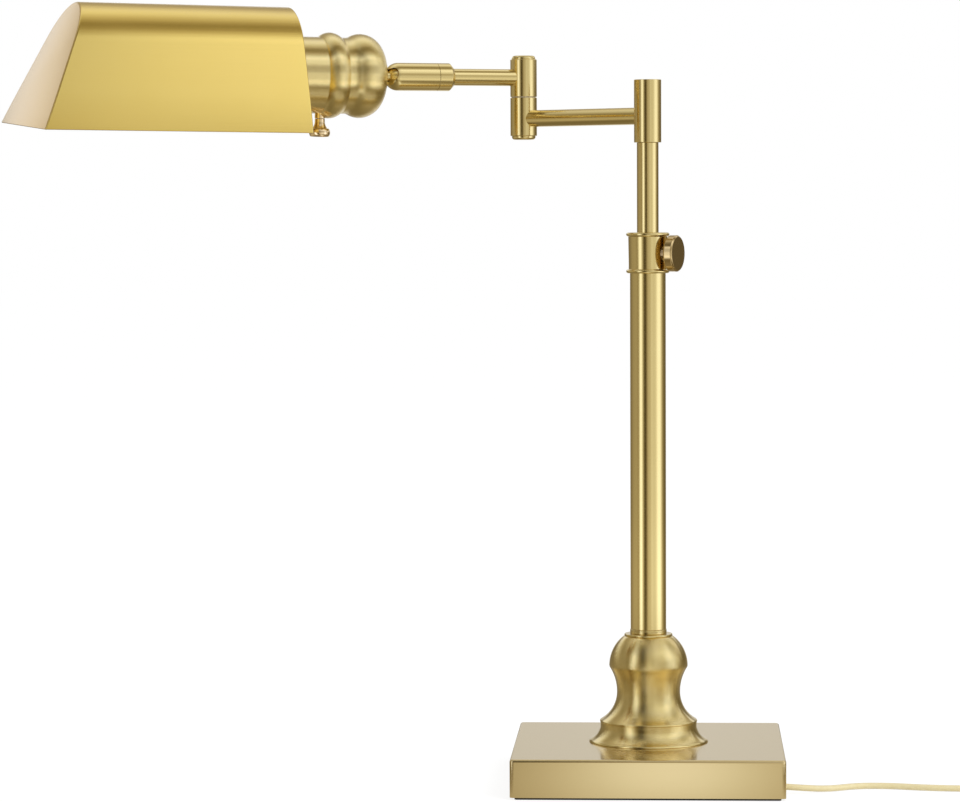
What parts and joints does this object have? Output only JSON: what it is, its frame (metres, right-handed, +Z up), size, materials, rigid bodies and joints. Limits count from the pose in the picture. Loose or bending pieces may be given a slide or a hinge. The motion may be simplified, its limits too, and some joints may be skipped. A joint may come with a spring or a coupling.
{
  "type": "swing arm desk lamp",
  "caption": "Desk lamp with a weighted square base, turned pedestal, sliding post held by a thumb screw, jointed level swing arms and a trough shade on a slotted ball swivel.",
  "frame": {"origin": "centre of the base's underside on the desk, on the post's axis", "axes": "+Z up along the post, +X to the right of the base towards the cord's side, -Y to the base's front; the arms reach out to -X"},
  "size_m": [0.6566, 0.1902, 0.4642],
  "materials": {
    "satin_brass": "satin brushed brass under clear lacquer",
    "plain_steel": "zinc plated",
    "iron": "rough black",
    "pad_rubber": "matte black",
    "nylon": "natural",
    "holder_plastic": "moulded black",
    "lamp_metal": "bright",
    "lamp_frosted": "frosted white",
    "cord_plastic": "clear gold cord covering",
    "blade_brass": "bright",
    "tie_plastic": "matte black"
  },
  "bodies": {
    "stand": {"base_cover": "satin_brass", "base_weight": "iron", "base_pad": "pad_rubber", "cord_grommet": "cord_plastic", "pipe_washer": "plain_steel", "pipe_nut": "plain_steel", "stud_pipe": "plain_steel", "pedestal_foot": "satin_brass", "pedestal_body": "satin_brass", "pedestal_top_ring": "satin_brass", "post_ferrule": "satin_brass", "post_tube": "satin_brass", "tube_insert": "nylon", "clamp_collar": "satin_brass", "guide_bush": "nylon", "cord_lead": "cord_plastic", "cord_coil": "cord_plastic", "cord_tail": "cord_plastic", "coil_tie": "tie_plastic", "plug_body": "cord_plastic", "plug_blades": "blade_brass"},
    "thumb_screw": {"thumb_knob": "satin_brass", "thumb_stem": "plain_steel"},
    "shaft": {"shaft_tube": "satin_brass", "glide_plug": "nylon", "sleeve_spigot": "plain_steel"},
    "lower_arm": {"post_sleeve": "satin_brass", "sleeve_cap": "satin_brass", "lower_arm_tube": "satin_brass", "lower_knuckle": "satin_brass", "lower_knuckle_cap": "satin_brass", "knuckle_pivot": "plain_steel", "pivot_nut": "plain_steel"},
    "upper_arm": {"knuckle_washer": "nylon", "upper_knuckle": "satin_brass", "upper_knuckle_cap": "satin_brass", "upper_arm_tube": "satin_brass", "swivel_ring": "satin_brass", "swivel_spigot": "plain_steel"},
    "swivel": {"swivel_barrel": "satin_brass", "ball_pad": "nylon"},
    "head": {"ball_stem": "satin_brass", "stem_nut": "plain_steel", "socket_cup": "satin_brass", "lamp_holder": "holder_plastic", "shade_nut": "holder_plastic", "lamp_base": "lamp_metal", "lamp_glass": "lamp_frosted", "shade_trough": "satin_brass", "shade_end_panel": "satin_brass", "shade_back_panel": "satin_brass", "switch_bushing": "satin_brass"},
    "switch": {"switch_knob": "satin_brass", "switch_spindle": "plain_steel"}
  },
  "joints": [
    {"name": "post_height", "type": "slide", "parent": "stand", "child": "shaft", "axis": [0, 0, 1], "range_m": [-0.05, 0.1]},
    {"name": "thumb_turn", "type": "hinge", "parent": "stand", "child": "thumb_screw", "pos_m": [0, 0, 0.3154], "axis": [0.9245, -0.3811, 0], "range_deg": [0, 360]},
    {"name": "lower_arm_swing", "type": "hinge", "parent": "shaft", "child": "lower_arm", "pos_m": [0, 0, 0.397], "axis": [0, 0, 1], "range_deg": [-170, 170]},
    {"name": "upper_arm_swing", "type": "hinge", "parent": "lower_arm", "child": "upper_arm", "pos_m": [-0.07617, 0.06324, 0.41], "axis": [0, 0, 1], "range_deg": [-180, 55]},
    {"name": "head_roll", "type": "hinge", "parent": "upper_arm", "child": "swivel", "pos_m": [-0.15091, 0.03074, 0.422], "axis": [-0.9171, -0.3987, 0], "range_deg": [-90, 90]},
    {"name": "head_bend", "type": "hinge", "parent": "swivel", "child": "head", "pos_m": [-0.15091, 0.03074, 0.422], "axis": [-0.0998, 0.2296, 0.9681], "range_deg": [0, 50]},
    {"name": "switch_turn", "type": "hinge", "parent": "head", "child": "switch", "pos_m": [-0.19664, 0.01274, 0.39256], "axis": [-0.0325, 0.0486, -0.9983], "range_deg": [0, 90]}
  ]
}
